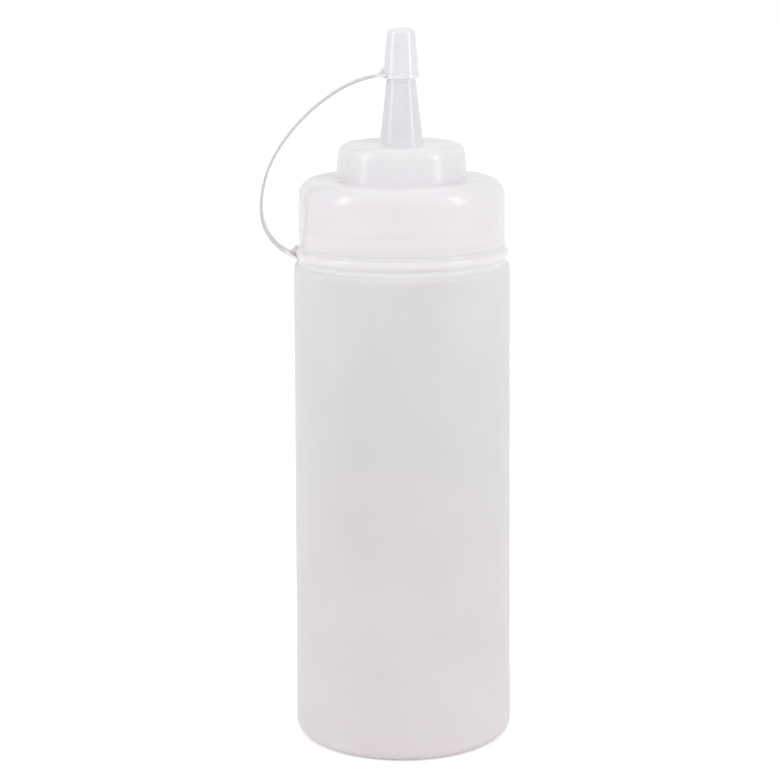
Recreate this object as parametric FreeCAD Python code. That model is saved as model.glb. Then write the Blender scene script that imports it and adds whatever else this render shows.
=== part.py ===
import FreeCAD, Part
import math
import os

# Squeeze bottle in three moulded pieces: a blow-moulded bottle, a screw cap with a tapered nozzle,
# and a tip cap held by a flat strap to a ring that snaps round the foot of the screw cap.
# Millimetres, +Z up. The origin is the centre of the foot ring on the surface the bottle stands on.
# The strap lies in the XZ plane, on the -X side.

# Bottle
BODY_DIAMETER = 72.6            # at the foot
BODY_HEIGHT = 160.75            # surface to the top of the shoulder
BODY_DRAFT = 0.33               # degrees, narrower towards the shoulder
BODY_WALL = 1.0
BASE_WALL = 1.4
SHOULDER_WALL = 1.3
BASE_CORNER = 4.2
SHOULDER_CORNER = 2.6
FOOT_WIDTH = 4.0                # flat ring that the bottle stands on
PUSH_UP = 2.6                   # how far the middle of the base is domed up
PUSH_UP_SLOPE = 5.0             # run of the slope from the foot ring to the raised middle
PINCH_LENGTH = 46.0             # weld line that the mould leaves across the base
PINCH_WIDTH = 1.2
PINCH_HEIGHT = 0.4
SHOULDER_STEP = 4.8             # from the side of the body in to the neck
NECK_WALL = 1.6
NECK_HEIGHT = 23.85             # shoulder to rim
NECK_ROOT = 1.2

# Fit of the screw cap on the neck
THREAD_DEPTH = 1.2              # room for the thread between neck and skirt
THREAD_CLEARANCE = 0.3
CAP_GAP = 0.25                  # shoulder to the foot of the skirt
SEAL_DEPTH = 1.2                # ring under the deck that seals on the rim

# Screw cap
SKIRT_WALL = 1.75
SKIRT_DRAFT = 0.7               # degrees
SKIRT_EDGE = 5.4
DECK_WALL = 1.8
DRUM_DIAMETER = 42.6
DRUM_HEIGHT = 11.5
DRUM_DRAFT = 4.5                # degrees
DRUM_EDGE = 3.8
DRUM_WALL = 1.7
NOZZLE_DIAMETER = 14.12         # where it leaves the drum
NOZZLE_TIP_DIAMETER = 6.0
NOZZLE_LENGTH = 35.1
NOZZLE_WALL = 1.3
INSIDE_CORNER = 0.8             # small fillets at the foot of drum and nozzle

# Ring of the tip cap, in a groove at the foot of the skirt
RING_HEIGHT = 4.55
RING_PROUD = 0.95               # how far the ring stands out from the skirt
RING_FOOT_SLOPE = 2.1           # the ring narrows over this height towards its lower edge
RING_FOOT_WALL = 0.5            # and is this thick there
RING_TOP_SLOPE = 1.6            # and narrows over this height at its top, to lie flush with the skirt
RING_EDGE = 0.6
GROOVE_DEPTH = 0.6
RETAINING_BEAD = 0.2            # height of the bead under the ring
BEAD_DEPTH = 0.25               # how far the bead reaches out of the groove
RING_CLEARANCE = 0.05

# Tip cap
TIP_CAP_HEIGHT = 15.8
TIP_CAP_WALL = 1.1
TIP_CAP_TOP_DIAMETER = 8.84
TIP_CAP_EDGE = 1.9
TIP_CAP_CLEARANCE = 0.1
TIP_CAP_END_WALL = 1.6
LIP_HEIGHT = 1.2
LIP_PROUD = 0.15

# Strap: arcs that turn the same way, from the tip cap over to the left, down, and back in to the ring
STRAP_WIDTH = 5.6
STRAP_THICKNESS = 0.85
STRAP_REACH = 11.0              # widest point of the arch, out from the ring
STRAP_RISE = 0.95               # strap over the lower edge of the tip cap
STRAP_SILL = 0.65               # lower edge of the ring to the strap
STRAP_LEAVES_CAP = 6.0          # degrees below level
STRAP_UPPER_TURN = 30.5         # degrees below level where the arch flattens
STRAP_LOWER_TURN = 58.0         # and where it bends down again
STRAP_MIDDLE_RADIUS = 60.0
STRAP_HOOK_TURN = 72.0          # from straight down to where it meets the ring
CAP_FLARE_WIDTH = 8.0
CAP_FLARE_LENGTH = 4.0
RING_FLARE_WIDTH = 12.0
RING_FLARE_LENGTH = 6.5
RIB_WIDTH = 2.4                 # small ribs in the two corners over the strap
CAP_RIB_LENGTH = 1.7
CAP_RIB_HEIGHT = 2.2
RING_RIB_LENGTH = 2.6
RING_RIB_HEIGHT = 3.0

# Heights and radii that follow
body_radius = BODY_DIAMETER / 2
shoulder_radius = body_radius - BODY_HEIGHT * math.tan(math.radians(BODY_DRAFT))
neck_radius = shoulder_radius - SHOULDER_STEP
neck_bore = neck_radius - NECK_WALL
rim_z = BODY_HEIGHT + NECK_HEIGHT
skirt_bore = neck_radius + THREAD_DEPTH + THREAD_CLEARANCE
skirt_radius = skirt_bore + SKIRT_WALL
skirt_foot_z = BODY_HEIGHT + CAP_GAP
ring_z = skirt_foot_z + RETAINING_BEAD + RING_CLEARANCE
ring_top_z = ring_z + RING_HEIGHT
groove_radius = skirt_radius - GROOVE_DEPTH
ring_bore = groove_radius + RING_CLEARANCE
ring_radius = skirt_radius + RING_PROUD
deck_under_z = rim_z + SEAL_DEPTH
deck_z = deck_under_z + DECK_WALL
drum_radius = DRUM_DIAMETER / 2
drum_z = deck_z + DRUM_HEIGHT
drum_under_z = drum_z - DRUM_WALL
nozzle_radius = NOZZLE_DIAMETER / 2
nozzle_tip_radius = NOZZLE_TIP_DIAMETER / 2
nozzle_tip_z = drum_z + NOZZLE_LENGTH
nozzle_taper = (nozzle_radius - nozzle_tip_radius) / NOZZLE_LENGTH
tip_cap_top_z = nozzle_tip_z + TIP_CAP_END_WALL
tip_cap_z = tip_cap_top_z - TIP_CAP_HEIGHT


def skirt_radius_at(z):
    return skirt_radius - (z - skirt_foot_z) * math.tan(math.radians(SKIRT_DRAFT))


def nozzle_radius_at(z):
    return nozzle_radius - (z - drum_z) * nozzle_taper


tip_cap_radius = nozzle_radius_at(tip_cap_z) + TIP_CAP_CLEARANCE + TIP_CAP_WALL
tip_cap_top_radius = TIP_CAP_TOP_DIAMETER / 2
lip_radius = tip_cap_radius + LIP_PROUD


def tip_cap_radius_at(z):
    return tip_cap_radius + (tip_cap_top_radius - tip_cap_radius) * (z - tip_cap_z) / TIP_CAP_HEIGHT


def in_plane(x, z):
    return FreeCAD.Vector(x, 0, z)


def rounded_face(corners):
    """Face in the XZ plane from (x, z, radius) corners, each rounded with its own radius."""
    points = [in_plane(x, z) for x, z, radius in corners]
    starts = []
    arcs = []
    ends = []
    for i, corner in enumerate(points):
        radius = corners[i][2]
        if radius == 0:
            starts.append(corner)
            arcs.append(None)
            ends.append(corner)
            continue
        back = (points[i - 1] - corner).normalize()
        ahead = (points[(i + 1) % len(points)] - corner).normalize()
        half_angle = back.getAngle(ahead) / 2
        trim = radius / math.tan(half_angle)
        bisector = (back + ahead).normalize()
        middle = corner + bisector * (radius / math.sin(half_angle) - radius)
        first = corner + back * trim
        last = corner + ahead * trim
        starts.append(first)
        arcs.append(Part.Arc(first, middle, last).toShape())
        ends.append(last)
    edges = []
    for i, arc in enumerate(arcs):
        if arc:
            edges.append(arc)
        edges.append(Part.makeLine(ends[i], starts[(i + 1) % len(starts)]))
    return Part.Face(Part.Wire(edges))


def turned(corners):
    """Solid of revolution about the Z axis."""
    return rounded_face(corners).revolve(FreeCAD.Vector(0, 0, 0), FreeCAD.Vector(0, 0, 1), 360)


def slab(face, width):
    """A face in the XZ plane made into a plate of this width, centred on that plane."""
    plate = face.extrude(FreeCAD.Vector(0, width, 0))
    plate.translate(FreeCAD.Vector(0, -width / 2, 0))
    return plate


def make_bottle():
    foot_inner = body_radius - BASE_CORNER - FOOT_WIDTH
    raised = foot_inner - PUSH_UP_SLOPE
    corners = [
        (0, PUSH_UP, 0),
        (raised, PUSH_UP, 3.0),
        (foot_inner, 0, 1.5),
        (body_radius, 0, BASE_CORNER),
        (shoulder_radius, BODY_HEIGHT, SHOULDER_CORNER),
        (neck_radius, BODY_HEIGHT, NECK_ROOT),
        (neck_radius, rim_z, 0.4),
        (neck_bore, rim_z, 0.4),
        (neck_bore, BODY_HEIGHT - SHOULDER_WALL, 2.0),
        (shoulder_radius - BODY_WALL, BODY_HEIGHT - SHOULDER_WALL, SHOULDER_CORNER - BODY_WALL),
        (body_radius - BODY_WALL, BASE_WALL, BASE_CORNER - BODY_WALL),
        (foot_inner, BASE_WALL, 1.5),
        (raised, PUSH_UP + BASE_WALL, 3.0),
        (0, PUSH_UP + BASE_WALL, 0),
    ]
    pinch = Part.makeBox(PINCH_LENGTH, PINCH_WIDTH, PINCH_HEIGHT + BASE_WALL / 2)
    pinch.translate(FreeCAD.Vector(-PINCH_LENGTH / 2, -PINCH_WIDTH / 2, PUSH_UP - PINCH_HEIGHT))
    return turned(corners).fuse(pinch)


def make_screw_cap():
    groove_z = skirt_foot_z + RETAINING_BEAD
    groove_top_z = ring_top_z + RING_CLEARANCE
    bead_radius = groove_radius + BEAD_DEPTH
    drum_lean = math.tan(math.radians(DRUM_DRAFT))
    skirt_lean = math.tan(math.radians(SKIRT_DRAFT))
    drum_bore = drum_radius - DRUM_WALL
    corners = [
        (skirt_bore, skirt_foot_z, 0),
        (bead_radius, skirt_foot_z, 0.15),
        (bead_radius, groove_z, 0),
        (groove_radius, groove_z, 0),
        (groove_radius, groove_top_z, 0),
        (skirt_radius_at(groove_top_z), groove_top_z, 0),
        (skirt_radius_at(deck_z), deck_z, SKIRT_EDGE),
        (drum_radius, deck_z, INSIDE_CORNER),
        (drum_radius - DRUM_HEIGHT * drum_lean, drum_z, DRUM_EDGE),
        (nozzle_radius, drum_z, INSIDE_CORNER),
        (nozzle_tip_radius, nozzle_tip_z, 0.4),
        (nozzle_tip_radius - NOZZLE_WALL, nozzle_tip_z, 0),
        (nozzle_radius_at(drum_under_z) - NOZZLE_WALL, drum_under_z, INSIDE_CORNER),
        (drum_bore - (drum_under_z - deck_z) * drum_lean, drum_under_z, DRUM_EDGE - DRUM_WALL),
        (drum_bore, deck_under_z, INSIDE_CORNER),
        (neck_bore, deck_under_z, 0),
        (neck_bore, rim_z, 0),
        (neck_radius, rim_z, 0),
        (neck_radius, deck_under_z, 0),
        (skirt_bore - (deck_under_z - skirt_foot_z) * skirt_lean, deck_under_z, INSIDE_CORNER),
    ]
    return turned(corners)


def strap_arcs():
    """Centre, radius, first and last angle of each arc of the strap, worked out from its two ends."""
    ring_end = in_plane(-ring_radius, ring_z + STRAP_SILL + STRAP_THICKNESS / 2)
    cap_end = in_plane(-lip_radius, tip_cap_z + STRAP_RISE)
    reach = ring_radius + STRAP_REACH
    hook_turn = math.radians(STRAP_HOOK_TURN)
    hook_radius = STRAP_REACH / (1 - math.cos(hook_turn))
    widest_z = ring_end.z + hook_radius * math.sin(hook_turn)
    leave = math.radians(STRAP_LEAVES_CAP)
    upper = math.radians(STRAP_UPPER_TURN)
    lower = math.radians(STRAP_LOWER_TURN)
    # the run and the rise that the middle arc leaves over give the radii of the other two
    run = reach + cap_end.x - STRAP_MIDDLE_RADIUS * (math.sin(lower) - math.sin(upper))
    rise = cap_end.z - widest_z - STRAP_MIDDLE_RADIUS * (math.cos(upper) - math.cos(lower))
    top_run = math.sin(upper) - math.sin(leave)
    top_rise = math.cos(leave) - math.cos(upper)
    side_run = 1 - math.sin(lower)
    side_rise = math.cos(lower)
    scale = top_run * side_rise - side_run * top_rise
    top_radius = (run * side_rise - side_run * rise) / scale
    side_radius = (top_run * rise - run * top_rise) / scale
    turns = [
        (top_radius, leave, upper),
        (STRAP_MIDDLE_RADIUS, upper, lower),
        (side_radius, lower, math.pi / 2),
        (hook_radius, math.pi / 2, math.pi / 2 + hook_turn),
    ]
    arcs = []
    place = cap_end
    for radius, first, last in turns:
        first += math.pi / 2
        last += math.pi / 2
        centre = place - in_plane(math.cos(first), math.sin(first)) * radius
        arcs.append((centre, radius, first, last))
        place = centre + in_plane(math.cos(last), math.sin(last)) * radius
    return arcs


def arc_edge(centre, radius, first, last):
    angles = (first, (first + last) / 2, last)
    return Part.Arc(*[centre + in_plane(math.cos(a), math.sin(a)) * radius for a in angles]).toShape()


def strap_face(arcs, sink):
    """Side view of the strap. Each end runs on straight for the length sink, into what it grows from."""
    half = STRAP_THICKNESS / 2
    outer = [arc_edge(c, r + half, first, last) for c, r, first, last in arcs]
    inner = [arc_edge(c, r - half, first, last) for c, r, first, last in arcs]
    start_angle = arcs[0][2]
    end_angle = arcs[-1][3]
    start_on = in_plane(math.sin(start_angle), -math.cos(start_angle)) * sink
    end_on = in_plane(-math.sin(end_angle), math.cos(end_angle)) * sink
    outer_start = outer[0].Vertexes[0].Point
    inner_start = inner[0].Vertexes[0].Point
    outer_end = outer[-1].Vertexes[-1].Point
    inner_end = inner[-1].Vertexes[-1].Point
    head = [outer_start, outer_start + start_on, inner_start + start_on, inner_start]
    tail = [inner_end, inner_end + end_on, outer_end + end_on, outer_end]
    edges = outer + inner
    edges += [Part.makeLine(a, b) for a, b in zip(head, head[1:])]
    edges += [Part.makeLine(a, b) for a, b in zip(tail, tail[1:])]
    return Part.Face(Part.Wire(Part.__sortEdges__(edges)))


def flare(band, root_x, length, width, low_z, high_z):
    """The strap widened towards its root: hollow curves in plan, from the strap's width to the root's."""
    half = STRAP_WIDTH / 2
    root_half = width / 2
    tip_x = root_x - length
    inside_x = root_x + length
    near = FreeCAD.Vector(tip_x, -half, low_z)
    far = FreeCAD.Vector(tip_x, half, low_z)
    near_root = FreeCAD.Vector(root_x, -root_half, low_z)
    far_root = FreeCAD.Vector(root_x, root_half, low_z)
    near_inside = FreeCAD.Vector(inside_x, -root_half, low_z)
    far_inside = FreeCAD.Vector(inside_x, root_half, low_z)
    sag = (root_half - half) / 4
    near_middle = (near + near_root) / 2 + FreeCAD.Vector(0, sag, 0)
    far_middle = (far + far_root) / 2 - FreeCAD.Vector(0, sag, 0)
    outline = Part.Wire([
        Part.makeLine(far, near),
        Part.Arc(near, near_middle, near_root).toShape(),
        Part.makeLine(near_root, near_inside),
        Part.makeLine(near_inside, far_inside),
        Part.makeLine(far_inside, far_root),
        Part.Arc(far_root, far_middle, far).toShape(),
    ])
    plan = Part.Face(outline).extrude(FreeCAD.Vector(0, 0, high_z - low_z))
    return slab(band, width).common(plan)


def rib(x, z, length, height):
    """Small three-sided rib in the corner between the strap and the wall it grows from, sunk into both."""
    sink = STRAP_THICKNESS / 2
    corners = [
        (x + 2 * sink, z - sink, 0),
        (x - length, z - sink, 0),
        (x - length, z, 0),
        (x, z + height, 0),
        (x + 2 * sink, z + height, 0),
    ]
    return slab(rounded_face(corners), RIB_WIDTH)


def make_tethered_cap():
    lip_top_z = tip_cap_z + LIP_HEIGHT
    lip_blend_z = lip_top_z + 2 * LIP_PROUD
    shell = turned([
        (0, tip_cap_z, 0),
        (lip_radius, tip_cap_z, 0.15),
        (tip_cap_radius_at(lip_top_z) + LIP_PROUD, lip_top_z, 0.2),
        (tip_cap_radius_at(lip_blend_z), lip_blend_z, 0),
        (tip_cap_top_radius, tip_cap_top_z, TIP_CAP_EDGE),
        (0, tip_cap_top_z, 0),
    ])
    socket = turned([
        (0, tip_cap_z - 1, 0),
        (nozzle_radius_at(tip_cap_z - 1) + TIP_CAP_CLEARANCE, tip_cap_z - 1, 0),
        (nozzle_tip_radius + TIP_CAP_CLEARANCE, nozzle_tip_z, 0),
        (0, nozzle_tip_z, 0),
    ])
    groove_top_z = ring_top_z + RING_CLEARANCE
    ring = turned([
        (ring_bore, ring_z, 0),
        (ring_bore + RING_FOOT_WALL, ring_z, 0.2),
        (ring_radius, ring_z + RING_FOOT_SLOPE, RING_EDGE),
        (ring_radius, ring_top_z - RING_TOP_SLOPE, RING_EDGE),
        (skirt_radius_at(ring_top_z), ring_top_z, 0),
        (ring_bore, ring_top_z, 0),
    ])
    # the space that the screw cap takes, with the ring's clearance round it
    above_z = ring_top_z + RING_RIB_HEIGHT
    keep_out = turned([
        (0, ring_z - 5, 0),
        (ring_bore, ring_z - 5, 0),
        (ring_bore, ring_top_z, 0),
        (skirt_radius_at(groove_top_z) + RING_CLEARANCE, ring_top_z, 0),
        (skirt_radius_at(above_z) + RING_CLEARANCE, above_z, 0),
        (0, above_z, 0),
    ])
    band = strap_face(strap_arcs(), 1.5 * STRAP_THICKNESS)
    strap_z = tip_cap_z + STRAP_RISE
    strap_over_ring_z = ring_z + STRAP_SILL + STRAP_THICKNESS
    pieces = [
        slab(band, STRAP_WIDTH),
        flare(band, -lip_radius, CAP_FLARE_LENGTH, CAP_FLARE_WIDTH, tip_cap_z, tip_cap_top_z),
        flare(band, -ring_radius, RING_FLARE_LENGTH, RING_FLARE_WIDTH, ring_z - 2, ring_top_z + 2),
        rib(-lip_radius, strap_z, CAP_RIB_LENGTH, CAP_RIB_HEIGHT),
        rib(-ring_radius, strap_over_ring_z, RING_RIB_LENGTH, RING_RIB_HEIGHT),
        ring,
    ]
    return shell.fuse(pieces).cut(socket).cut(keep_out).removeSplitter()


os.makedirs("parts", exist_ok=True)
pieces = {
    "bottle": make_bottle(),
    "screw_cap": make_screw_cap(),
    "tethered_cap": make_tethered_cap(),
}
for name, shape in pieces.items():
    shape = shape.removeSplitter()
    shape.exportStep(f"parts/{name}.step")
    box = shape.optimalBoundingBox(False)
    size = f"{box.XLength:.1f} x {box.YLength:.1f} x {box.ZLength:.1f} mm"
    volume = shape.Volume / 1000
    print(f"{name}: {len(shape.Solids)} solid, valid {shape.isValid()}, {size}, {volume:.2f} cm3")
for centre, radius, first, last in strap_arcs():
    turn = last - first
    print(f"strap arc of radius {radius:.1f}, {math.degrees(turn):.0f} degrees, {radius * turn:.1f} mm")
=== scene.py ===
import math

import bmesh
import bpy
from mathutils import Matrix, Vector

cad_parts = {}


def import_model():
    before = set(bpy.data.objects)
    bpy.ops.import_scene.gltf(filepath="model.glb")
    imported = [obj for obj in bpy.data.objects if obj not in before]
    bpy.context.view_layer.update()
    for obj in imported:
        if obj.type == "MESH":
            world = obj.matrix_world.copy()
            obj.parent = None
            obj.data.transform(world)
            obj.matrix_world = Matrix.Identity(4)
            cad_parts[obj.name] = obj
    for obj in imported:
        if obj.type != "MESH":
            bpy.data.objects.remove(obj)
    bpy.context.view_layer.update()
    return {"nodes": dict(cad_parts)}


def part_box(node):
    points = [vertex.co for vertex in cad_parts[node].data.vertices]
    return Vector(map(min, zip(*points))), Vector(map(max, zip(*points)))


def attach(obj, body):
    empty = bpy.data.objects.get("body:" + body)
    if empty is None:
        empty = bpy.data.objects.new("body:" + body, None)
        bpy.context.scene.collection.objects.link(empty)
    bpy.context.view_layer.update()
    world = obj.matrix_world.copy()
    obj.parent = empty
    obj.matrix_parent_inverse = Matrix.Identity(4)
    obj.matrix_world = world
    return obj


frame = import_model()

# Metres. The bottle stands on z = 0 with its axis on the Z axis; the strap is on the -X side.
BODY = "root"
MM = 0.001

bottle = frame["nodes"]["bottle"]
screw_cap = frame["nodes"]["screw_cap"]
tethered_cap = frame["nodes"]["tethered_cap"]

# Camera
CAMERA_PLACE = (-3.32 * MM, -754.9 * MM, 278.9 * MM)
CAMERA_PITCH = math.radians(12.10)      # below level
CAMERA_ROLL = math.radians(0.28)
CAMERA_LENS = 107.5
SENSOR = 36.0
CLIP_START = 0.01
CLIP_END = 100

# Area lamps: azimuth in degrees, where 0 is the camera's side and positive is to the right, distance from the
# axis, height of the centre, width and height of the lamp, power
LAMPS = {
    "key_right": (66, 0.9, 0.51, 0.20, 0.70, 1.9),
    "fill_left": (-70, 0.9, 0.51, 0.20, 0.70, 1.7),
    "overhead": (180, 0.35, 1.3, 0.9, 0.9, 1.5),
}
LAMP_AIM = Vector((0, 0, 0.12))

# Surroundings, and how bright they are in front of the bottle and behind it
WORLD_COLOUR = (0.99, 0.98, 0.985)
WORLD_FRONT = 1.19
WORLD_BACK = 0.30
WHITE = (1.0, 1.0, 1.0)

# Floor
FLOOR_SIZE = 30
FLOOR_DROP = 0.05 * MM                  # keeps the floor out of the foot ring's own plane
FLOOR_COLOUR = (0.93, 0.93, 0.93)
FLOOR_GLOW = 0.34                       # lifts it to white where it is seen

# Colours of the plastics by height
BOTTLE_TINTS = [(0.0, (0.731, 0.686, 0.686)), (0.035, (0.726, 0.684, 0.686)), (0.085, (0.700, 0.684, 0.692)),
                (0.12, (0.708, 0.694, 0.708)), (0.16, (0.731, 0.715, 0.733))]
SCREW_CAP_TINTS = [(0.16, (0.802, 0.783, 0.8)), (0.186, (0.807, 0.788, 0.812)), (0.193, (0.806, 0.796, 0.812)),
                   (0.199, (0.806, 0.796, 0.812)), (0.203, (0.745, 0.74, 0.763)), (0.235, (0.745, 0.74, 0.763))]
TETHERED_CAP_TINTS = [(0.16, (0.802, 0.783, 0.8)), (0.170, (0.802, 0.788, 0.807)), (0.21, (0.779, 0.774, 0.803)),
                      (0.236, (0.779, 0.774, 0.803))]
JOINT_TINTS = [(0.16, (0.78, 0.765, 0.78)), (0.17, (0.78, 0.765, 0.78))]

# Places that are tucked in, by height, and the colour of the painted light that lifts them, standing in for light
# that comes through the walls
SHOULDER_UNDER_CAP = (0.1600, 0.1640)
SKIRT_FOOT = (0.1600, 0.1618)
RING_FOOT = (0.1600, 0.1616)
NOZZLE_UNDER_TIP_CAP = (0.2192, 0.2206)
PAINTED_LIGHT_COLOUR = (0.97, 0.965, 0.97)
PAINTED_LIGHT_EDGE = 0.3 * MM

# Polyethylene
REFRACTION = 1.51
SCATTERED_SHARE = 0.85
SCATTER_BY_COLOUR = (1.0, 0.95, 0.9)

# Unevenness of the plastics: waves in a metre, and the height of the bumps
DRIFT_WAVES = 14.0
CLOUD_WAVES = 38.0
CLOUD_STOPS = [(0.35, (0.965, 0.965, 0.965)), (0.7, WHITE)]
SHINE_WAVES = 90.0
GRAIN_WAVES = 1400.0
GRAIN_HEIGHT = 0.05 * MM
RIPPLE_WAVES = 34.0
RIPPLE_HEIGHT = 0.6 * MM
NOISE_LOW = 0.3
NOISE_HIGH = 0.7

# Neck thread
THREAD_PITCH = 4.9 * MM
THREAD_DEPTH = 1.1 * MM
THREAD_WIDTH = 2.4 * MM
THREAD_TURNS = 2.4
THREAD_START = 3.2 * MM                 # over the foot of the skirt
THREAD_SINK = 0.15 * MM                 # into the neck
THREAD_RUN_OUT = math.radians(35)
PLAIN_NECK = 3 * MM                     # under the rim
STEPS_PER_TURN = 120

# The thread's painted shade on the skirt: how the colour drops, and how far from the ridge's middle it is full and
# ends
THREAD_PAINTED_SHADE = (0.982, 0.982, 0.982)
THREAD_TONE_FULL = 0.15 * THREAD_WIDTH
THREAD_TONE_ENDS = 0.6 * THREAD_WIDTH

# The strap, darkened as painted shade, is what lies outside the tip cap's radius, and outside the ring's beside the
# ring
STRAP_PAINTED_SHADE = (0.76, 0.76, 0.76)
TIP_CAP_REACH = 7.6 * MM
FLARE_REACH = 2.5 * MM
BESIDE_RING = 5.0 * MM                  # over the foot of the ring
REACH_CHANGE = 0.5 * MM
STRAP_TONE_EDGE = 1.5 * MM

# Joints of the cap's foot that light comes through. Both fillings reach in from the surface by a depth, and their
# edges sink into their neighbours.
FILLING_STEPS = 240
FILLING_SINK = 0.04 * MM
SHARP_TURN = math.radians(35)
CAP_FOOT_HEIGHT = 6 * MM                # over the foot of the ring
SAME_PLACE = 0.05 * MM
FILLET_DEPTH = 0.9 * MM
FILLET_HOLLOW = 0.1 * MM                # how far its curve is pulled in from the foot of the ring
FILLET_STEPS = 8
SHOULDER_DROP = 0.85 * MM               # skirt's foot to the shoulder's rounding, under the fillet's edge
BAND_DEPTH = 0.4 * MM
BAND_COVER = 0.35 * MM                  # to either side of the joint
BAND_SLANT = 0.6                        # share of the cover by which the lower edge stands out
RING_DEPTH = 2 * MM


# ---------------------------------------------------------------- materials

class Nodes:
    """The node tree of a material or of the world, with short calls for the nodes that they share."""

    MIX_AMOUNT, MIX_FIRST, MIX_SECOND, MIX_RESULT = 0, 6, 7, 2      # sockets of a node that mixes colours

    def __init__(self, owner):
        owner.use_nodes = True
        self.tree = owner.node_tree
        self.tree.nodes.clear()

    def add(self, kind, **settings):
        node = self.tree.nodes.new(kind)
        for key, value in settings.items():
            setattr(node, key, value)
        return node

    def feed(self, socket, value):
        """Link an output to the socket, or set the socket to a number or a colour."""
        if isinstance(value, bpy.types.NodeSocket):
            self.tree.links.new(value, socket)
        else:
            socket.default_value = (*value, 1) if isinstance(value, tuple) else value

    def surface(self, kind, shader):
        self.feed(self.add(kind).inputs["Surface"], shader)

    def xyz(self, space):
        split = self.add("ShaderNodeSeparateXYZ")
        self.feed(split.inputs["Vector"], self.add("ShaderNodeTexCoord").outputs[space])
        return split.outputs

    def noise(self, waves, detail=2.0, stretch=(1, 1, 1)):
        mapping = self.add("ShaderNodeMapping")
        mapping.inputs["Scale"].default_value = stretch
        self.feed(mapping.inputs["Vector"], self.add("ShaderNodeTexCoord").outputs["Object"])
        node = self.add("ShaderNodeTexNoise")
        self.feed(node.inputs["Scale"], waves)
        self.feed(node.inputs["Detail"], detail)
        self.feed(node.inputs["Vector"], mapping.outputs["Vector"])
        return node.outputs["Fac"]

    def ramp(self, value, stops):
        node = self.add("ShaderNodeValToRGB")
        elements = node.color_ramp.elements
        while len(elements) < len(stops):
            elements.new(0.5)
        for element, (position, colour) in zip(elements, stops):
            element.position = position
            element.color = (*colour, 1)
        self.feed(node.inputs["Fac"], value)
        return node.outputs["Color"]

    def mix(self, amount, first, second, blend="MIX"):
        node = self.add("ShaderNodeMix", data_type="RGBA", blend_type=blend)
        self.feed(node.inputs[self.MIX_AMOUNT], amount)
        self.feed(node.inputs[self.MIX_FIRST], first)
        self.feed(node.inputs[self.MIX_SECOND], second)
        return node.outputs[self.MIX_RESULT]

    def compute(self, operation, first, second):
        node = self.add("ShaderNodeMath", operation=operation)
        self.feed(node.inputs[0], first)
        self.feed(node.inputs[1], second)
        return node.outputs["Value"]

    def map_range(self, value, low, high, to_low, to_high):
        node = self.add("ShaderNodeMapRange")
        self.feed(node.inputs["Value"], value)
        for name, number in zip(("From Min", "From Max", "To Min", "To Max"), (low, high, to_low, to_high)):
            self.feed(node.inputs[name], number)
        return node.outputs["Result"]

    def within(self, value, low, high, edge):
        """1 between low and high, falling to 0 over the edge inside each end."""
        over = self.map_range(value, low, low + edge, 0.0, 1.0)
        under = self.map_range(value, high - edge, high, 1.0, 0.0)
        return self.compute("MULTIPLY", over, under)

    def bump(self, strength, distance, height):
        node = self.add("ShaderNodeBump")
        self.feed(node.inputs["Strength"], strength)
        self.feed(node.inputs["Distance"], distance)
        self.feed(node.inputs["Height"], height)
        return node


def thread_shade_mask(n, place):
    """1 where the neck's thread lies behind the skirt, after the helix that neck_thread() follows; the skirt's
    colour is darkened there as painted shade.
    """
    foot_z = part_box("screw_cap")[0][2] + THREAD_START
    turn = n.compute("ARCTAN2", place["Y"], place["X"])
    climbed = n.compute("MULTIPLY", turn, THREAD_PITCH / (2 * math.pi))
    over_helix = n.compute("SUBTRACT", n.compute("SUBTRACT", place["Z"], foot_z), climbed)
    above_zero = n.compute("ADD", over_helix, 4 * THREAD_PITCH)
    off_centre = n.compute("PINGPONG", above_zero, THREAD_PITCH / 2)
    ridge = n.map_range(off_centre, THREAD_TONE_FULL, THREAD_TONE_ENDS, 1.0, 0.0)
    height = THREAD_TURNS * THREAD_PITCH
    reach = n.within(place["Z"], foot_z - THREAD_WIDTH, foot_z + height + THREAD_WIDTH, THREAD_WIDTH)
    return n.compute("MULTIPLY", ridge, reach)


def strap_shade_mask(n, place):
    """1 on the strap, whose colour is darkened there as painted shade, 0 on the ring and the tip cap that are
    moulded with it.
    """
    top_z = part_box("tethered_cap")[0][2] + BESIDE_RING
    ring_reach = radius_near(tethered_cap, 0.0, top_z, on_right) + FLARE_REACH
    outside = n.map_range(place["Z"], top_z, top_z + REACH_CHANGE, ring_reach, TIP_CAP_REACH)
    past = n.compute("SUBTRACT", n.compute("MULTIPLY", place["X"], -1.0), outside)
    return n.map_range(past, 0.0, STRAP_TONE_EDGE, 0.0, 1.0)


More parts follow.
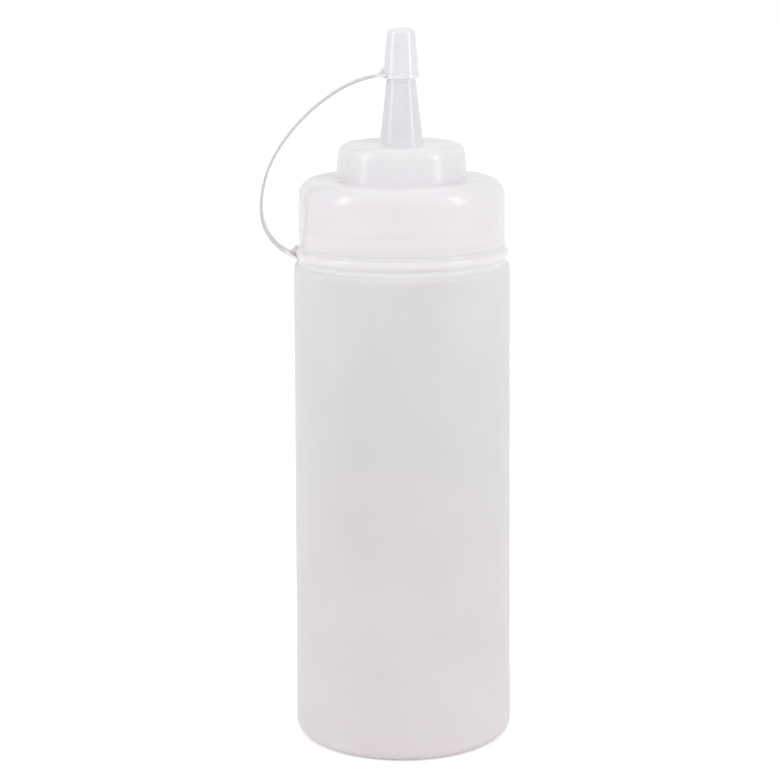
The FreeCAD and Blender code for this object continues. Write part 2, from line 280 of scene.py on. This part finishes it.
def milky_plastic(name, tints, shine, roughness, painted_light_bands=(), wander=0.0, scatter=0.0, spread=0.0, bump=0.0, ripple=0.0,
                  painted_shades=()):
    """Natural polyethylene, milky, with light scattered inside it.

    Tints are colours by height in metres, which wander up and down by so much. Height ranges for tucked-in places
    get
    painted light: their colour is lifted towards a light colour, standing in for light that reaches them through the
    walls. Scatter is how far light travels inside, nothing for thin pieces set in another. Spread is how far the
    roughness varies. The pairs of a mask and a factor darken the colour inside the mask as painted shade.
    """
    material = bpy.data.materials.new(name)
    n = Nodes(material)
    place = n.xyz("Object")
    drift = n.map_range(n.noise(DRIFT_WAVES), NOISE_LOW, NOISE_HIGH, -wander, wander)
    top = tints[-1][0]
    level = n.map_range(n.compute("ADD", place["Z"], drift), 0.0, top, 0.0, 1.0)
    colour = n.ramp(level, [(z / top, tint) for z, tint in tints])
    colour = n.mix(1.0, colour, n.ramp(n.noise(CLOUD_WAVES, 3.0), CLOUD_STOPS), "MULTIPLY")
    # painted light: the colour is lifted towards a light colour in tucked-in height bands, standing in for light
    # that comes through the walls
    for low, high in painted_light_bands:
        colour = n.mix(n.within(place["Z"], low, high, PAINTED_LIGHT_EDGE), colour, PAINTED_LIGHT_COLOUR)
    # painted shade: the colour is darkened along the neck thread behind the skirt and on the strap
    for mask, factor in painted_shades:
        colour = n.mix(1.0, colour, n.mix(mask(n, place), WHITE, factor), "MULTIPLY")

    shader = n.add("ShaderNodeBsdfPrincipled")
    n.feed(shader.inputs["Base Color"], colour)
    rough = n.map_range(n.noise(SHINE_WAVES, 4.0), NOISE_LOW, NOISE_HIGH, roughness - spread, roughness + spread)
    n.feed(shader.inputs["Roughness"], rough)
    n.feed(shader.inputs["IOR"], REFRACTION)
    n.feed(shader.inputs["Specular IOR Level"], shine)
    if scatter:
        n.feed(shader.inputs["Subsurface Weight"], SCATTERED_SHARE)
        n.feed(shader.inputs["Subsurface Scale"], scatter)
        shader.inputs["Subsurface Radius"].default_value = SCATTER_BY_COLOUR

    grain = n.bump(bump, GRAIN_HEIGHT, n.noise(GRAIN_WAVES, 3.0))
    slow = n.bump(ripple, RIPPLE_HEIGHT, n.noise(RIPPLE_WAVES, 1.0, (1, 1, 0.35)))
    n.feed(slow.inputs["Normal"], grain.outputs["Normal"])
    n.feed(shader.inputs["Normal"], slow.outputs["Normal"])
    n.surface("ShaderNodeOutputMaterial", shader.outputs["BSDF"])
    return material


def floor_material():
    """Pale floor: white to the camera and in mirrored light, darker only where the object shades it."""
    material = bpy.data.materials.new("studio_floor")
    n = Nodes(material)
    diffuse = n.add("ShaderNodeBsdfDiffuse")
    n.feed(diffuse.inputs["Color"], FLOOR_COLOUR)
    ray = n.add("ShaderNodeLightPath").outputs
    seen = n.compute("MAXIMUM", ray["Is Camera Ray"], ray["Is Glossy Ray"])
    glow = n.add("ShaderNodeEmission")
    n.feed(glow.inputs["Strength"], n.compute("MULTIPLY", seen, FLOOR_GLOW))
    both = n.add("ShaderNodeAddShader")
    n.feed(both.inputs[0], diffuse.outputs["BSDF"])
    n.feed(both.inputs[1], glow.outputs["Emission"])
    n.surface("ShaderNodeOutputMaterial", both.outputs["Shader"])
    return material


def dress(piece, material):
    piece.data.materials.clear()
    piece.data.materials.append(material)


# ---------------------------------------------------------------- pieces

def on_right(co):
    """The half of the tethered cap without its strap."""
    return co.x > 0


def radius_near(node, low, high, wanted=lambda co: True):
    """Largest distance from the axis among a node's points between two heights."""
    places = [v.co for v in node.data.vertices if low <= v.co.z <= high]
    return max(math.hypot(co.x, co.y) for co in places if wanted(co))


def join(mesh, rings):
    """Faces from each ring of points to the next."""
    for a, b in zip(rings, rings[1:]):
        for i in range(len(a)):
            j = (i + 1) % len(a)
            mesh.faces.new((a[i], a[j], b[j], b[i]))


def finished(name, mesh, sharp_turn=math.pi):
    """A piece from a closed mesh, smooth except over edges that turn by more."""
    bmesh.ops.recalc_face_normals(mesh, faces=mesh.faces)
    for edge in mesh.edges:
        edge.smooth = edge.calc_face_angle() < sharp_turn
    for face in mesh.faces:
        face.smooth = True
    data = bpy.data.meshes.new(name)
    mesh.to_mesh(data)
    mesh.free()
    piece = bpy.data.objects.new(name, data)
    bpy.context.collection.objects.link(piece)
    return piece


def neck_thread():
    """Rounded helical ridge on the neck; it shows faintly through the skirt as painted shade along the same helix on
    the skirt.
    """
    rim_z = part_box("bottle")[1][2]
    foot_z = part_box("screw_cap")[0][2]
    neck_radius = radius_near(bottle, rim_z - PLAIN_NECK, rim_z)
    section = [(-0.5, -THREAD_SINK), (-0.32, 0.75 * THREAD_DEPTH), (-0.16, THREAD_DEPTH)]
    section += [(-across, out) for across, out in reversed(section)]
    mesh = bmesh.new()
    rings = []
    for i in range(int(THREAD_TURNS * STEPS_PER_TURN) + 1):
        turn = 2 * math.pi * i / STEPS_PER_TURN
        left = 2 * math.pi * THREAD_TURNS - turn
        ease = min(1.0, turn / THREAD_RUN_OUT, left / THREAD_RUN_OUT)
        ease = math.sin(ease * math.pi / 2)
        z = foot_z + THREAD_START + THREAD_PITCH * turn / (2 * math.pi)
        ring = []
        for across, out in section:
            r = neck_radius + (out * ease if out > 0 else out)
            ring.append(mesh.verts.new((r * math.cos(turn), r * math.sin(turn), z + across * THREAD_WIDTH)))
        rings.append(ring)
    join(mesh, rings)
    mesh.faces.new(rings[0])
    mesh.faces.new(reversed(rings[-1]))
    piece = finished("neck_thread", mesh)
    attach(piece, BODY)
    dress(piece, bottle.data.materials[0])


def joint_filling(name, section, material):
    """Ring of the cap's plastic in a joint of its foot, turned from a section of radii and heights."""
    mesh = bmesh.new()
    rings = []
    for i in range(FILLING_STEPS):
        a = 2 * math.pi * i / FILLING_STEPS
        rings.append([mesh.verts.new((r * math.cos(a), r * math.sin(a), z)) for r, z in section])
    join(mesh, rings + rings[:1])
    piece = finished(name, mesh, SHARP_TURN)
    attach(piece, BODY)
    dress(piece, material)


def fillet_under_ring(ring_foot_z, foot_radius, ring_radius):
    """Section from half-way up the ring's sloped foot down to the shoulder, hollow on its outside."""
    slope_top_z = min(v.co.z for v in tethered_cap.data.vertices
                      if on_right(v.co) and math.hypot(v.co.x, v.co.y) > ring_radius - SAME_PLACE)
    slope = Vector((ring_radius - foot_radius, slope_top_z - ring_foot_z))
    upper = Vector((foot_radius, ring_foot_z)) + 0.5 * slope - Vector((FILLING_SINK, 0))
    lower = Vector((upper.x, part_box("screw_cap")[0][2] - SHOULDER_DROP))
    deepest = Vector((foot_radius - FILLET_HOLLOW, (upper.y + lower.y) / 2))
    curve = []
    for i in range(FILLET_STEPS + 1):
        t = i / FILLET_STEPS
        curve.append(tuple(upper.lerp(deepest, t).lerp(deepest.lerp(lower, t), t)))
    inner = foot_radius - FILLET_DEPTH
    return [(inner, upper.y)] + curve + [(inner, lower.y)]


def band_over_ring(ring_foot_z, ring_radius):
    """Section that covers the slit between the top of the ring and the skirt."""
    places = [(v.co.z, math.hypot(v.co.x, v.co.y)) for v in screw_cap.data.vertices
              if v.co.z < ring_foot_z + CAP_FOOT_HEIGHT]
    joint_z, joint_radius = max(place for place in places if place[1] > ring_radius - RING_DEPTH)
    over = (joint_radius - FILLING_SINK, joint_z + BAND_COVER)
    middle = (joint_radius + 2 * FILLING_SINK, joint_z)
    under = (joint_radius + BAND_SLANT * BAND_COVER, joint_z - BAND_COVER)
    inner = joint_radius - BAND_DEPTH
    return [(inner, over[1]), over, middle, under, (inner, under[1])]


def cap_foot(material):
    """Fills the joint under the ring, down to the shoulder, and the one over the ring."""
    ring_foot_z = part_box("tethered_cap")[0][2]
    foot_radius = radius_near(tethered_cap, ring_foot_z, ring_foot_z + SAME_PLACE, on_right)
    ring_radius = radius_near(tethered_cap, ring_foot_z, ring_foot_z + CAP_FOOT_HEIGHT, on_right)
    joint_filling("joint_under_ring", fillet_under_ring(ring_foot_z, foot_radius, ring_radius), material)
    joint_filling("joint_over_ring", band_over_ring(ring_foot_z, ring_radius), material)


def floor():
    bpy.ops.mesh.primitive_plane_add(size=FLOOR_SIZE)
    plane = bpy.context.object
    plane.name = "floor"
    plane.location.z = -FLOOR_DROP
    dress(plane, floor_material())


# ---------------------------------------------------------------- camera and light

def camera():
    data = bpy.data.cameras.new("camera")
    data.lens = CAMERA_LENS
    data.sensor_width = SENSOR
    data.clip_start = CLIP_START
    data.clip_end = CLIP_END
    made = bpy.data.objects.new("camera", data)
    made.location = CAMERA_PLACE
    made.rotation_mode = "XYZ"
    made.rotation_euler = (math.pi / 2 - CAMERA_PITCH, CAMERA_ROLL, 0)
    bpy.context.collection.objects.link(made)
    bpy.context.scene.camera = made


def softbox(name, azimuth, distance, centre_z, width, height, power):
    """Area lamp that faces the bottle's axis."""
    data = bpy.data.lights.new(name, "AREA")
    data.shape = "RECTANGLE"
    data.size = width
    data.size_y = height
    data.energy = power
    lamp = bpy.data.objects.new(name, data)
    a = math.radians(azimuth)
    lamp.location = (distance * math.sin(a), -distance * math.cos(a), centre_z)
    aim = LAMP_AIM - lamp.location
    lamp.rotation_euler = aim.to_track_quat("-Z", "Y").to_euler()
    bpy.context.collection.objects.link(lamp)


def background(n, colour, strength):
    node = n.add("ShaderNodeBackground")
    n.feed(node.inputs["Color"], colour)
    n.feed(node.inputs["Strength"], strength)
    return node.outputs["Background"]


def world():
    """Surroundings that light the bottle more from the front, and are white where they are seen or mirrored."""
    made = bpy.data.worlds.new("studio")
    bpy.context.scene.world = made
    n = Nodes(made)
    ray = n.add("ShaderNodeLightPath").outputs
    seen = n.compute("MAXIMUM", ray["Is Camera Ray"], ray["Is Transmission Ray"])
    seen = n.compute("MAXIMUM", seen, ray["Is Glossy Ray"])
    depth = n.map_range(n.xyz("Generated")["Y"], -1, 1, WORLD_FRONT, WORLD_BACK)
    pick = n.add("ShaderNodeMixShader")
    n.feed(pick.inputs["Fac"], seen)
    n.feed(pick.inputs[1], background(n, WORLD_COLOUR, depth))
    n.feed(pick.inputs[2], background(n, WHITE, 1.0))
    n.surface("ShaderNodeOutputWorld", pick.outputs["Shader"])


camera()
world()
for lamp_name, lamp_values in LAMPS.items():
    softbox(lamp_name, *lamp_values)

# the bottle's shoulder under the cap is lifted as painted light
dress(bottle, milky_plastic(
    "bottle_polyethylene", BOTTLE_TINTS, shine=0.26, roughness=0.40, painted_light_bands=[SHOULDER_UNDER_CAP],
    wander=15 * MM, scatter=1.5 * MM, spread=0.04, bump=0.12, ripple=0.06))
# the skirt is darkened along the neck thread as painted shade, and lifted at its foot and under the tip cap as
# painted light
dress(screw_cap, milky_plastic(
    "cap_polyethylene", SCREW_CAP_TINTS, shine=0.50, roughness=0.22, painted_light_bands=[SKIRT_FOOT, NOZZLE_UNDER_TIP_CAP],
    wander=1 * MM, scatter=1.0 * MM, spread=0.03, bump=0.06, ripple=0.03, painted_shades=[(thread_shade_mask, THREAD_PAINTED_SHADE)]))
# the strap is darkened as painted shade, and the ring's foot is lifted as painted light
dress(tethered_cap, milky_plastic(
    "tether_polyethylene", TETHERED_CAP_TINTS, shine=0.80, roughness=0.22, painted_light_bands=[RING_FOOT],
    scatter=1.0 * MM, painted_shades=[(strap_shade_mask, STRAP_PAINTED_SHADE)]))
neck_thread()
cap_foot(milky_plastic("joint_polyethylene", JOINT_TINTS, shine=0.35, roughness=0.3))
floor()

bpy.context.scene.view_settings.view_transform = "Standard"
